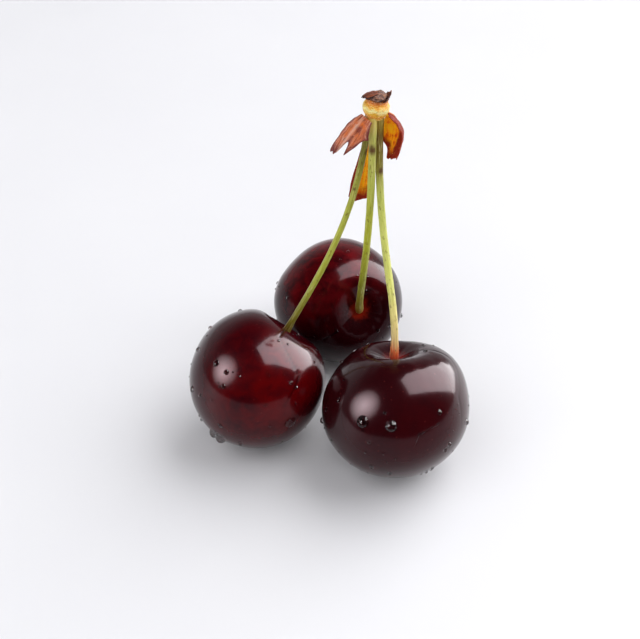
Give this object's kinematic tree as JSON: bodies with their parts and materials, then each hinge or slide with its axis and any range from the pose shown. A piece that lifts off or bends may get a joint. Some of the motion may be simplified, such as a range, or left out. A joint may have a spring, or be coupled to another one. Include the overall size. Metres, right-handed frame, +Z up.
{
  "type": "cherries on stalks",
  "caption": "Sweet cherries on long green stalks that join at one woody bud base with dry brown bud scales, standing on the fruits.",
  "frame": {"origin": "on the surface the bunch stands on, under the middle of its box", "axes": "+Z up, along the rising stalks; -Y is the front, with the right-hand fruit nearest; +X to the viewer's right"},
  "size_m": [0.0532, 0.0588, 0.0713],
  "materials": {
    "cherry_skin_dark": "smooth glossy fruit skin, very dark brown-red, wet",
    "cherry_skin_red": "smooth glossy fruit skin, deep crimson, wet",
    "green_stalk": "fibrous plant stalk, yellow-green to olive, lightly mottled, satin",
    "bud_wood": "soft corky wood, cream-yellow ring with orange-brown bands, satin",
    "dark_crust": "dry flaky bud crust, dark brown, rough",
    "dry_scale": "dry papery bud scale, pink-brown outside, orange inside, dark rim, satin",
    "water": "clear water drops, smooth"
  },
  "bodies": {
    "root": {"cherry_right": "cherry_skin_dark", "cherry_left": "cherry_skin_red", "cherry_back": "cherry_skin_red", "stalk_right": "green_stalk", "stalk_left": "green_stalk", "stalk_back": "green_stalk", "bud_base": "bud_wood", "bud_cap": "dark_crust", "cap_scale_left": "dark_crust", "cap_scale_right": "dark_crust", "bract_left": "dry_scale", "bract_right": "dry_scale", "bract_back": "dry_scale"}
  },
  "joints": []
}
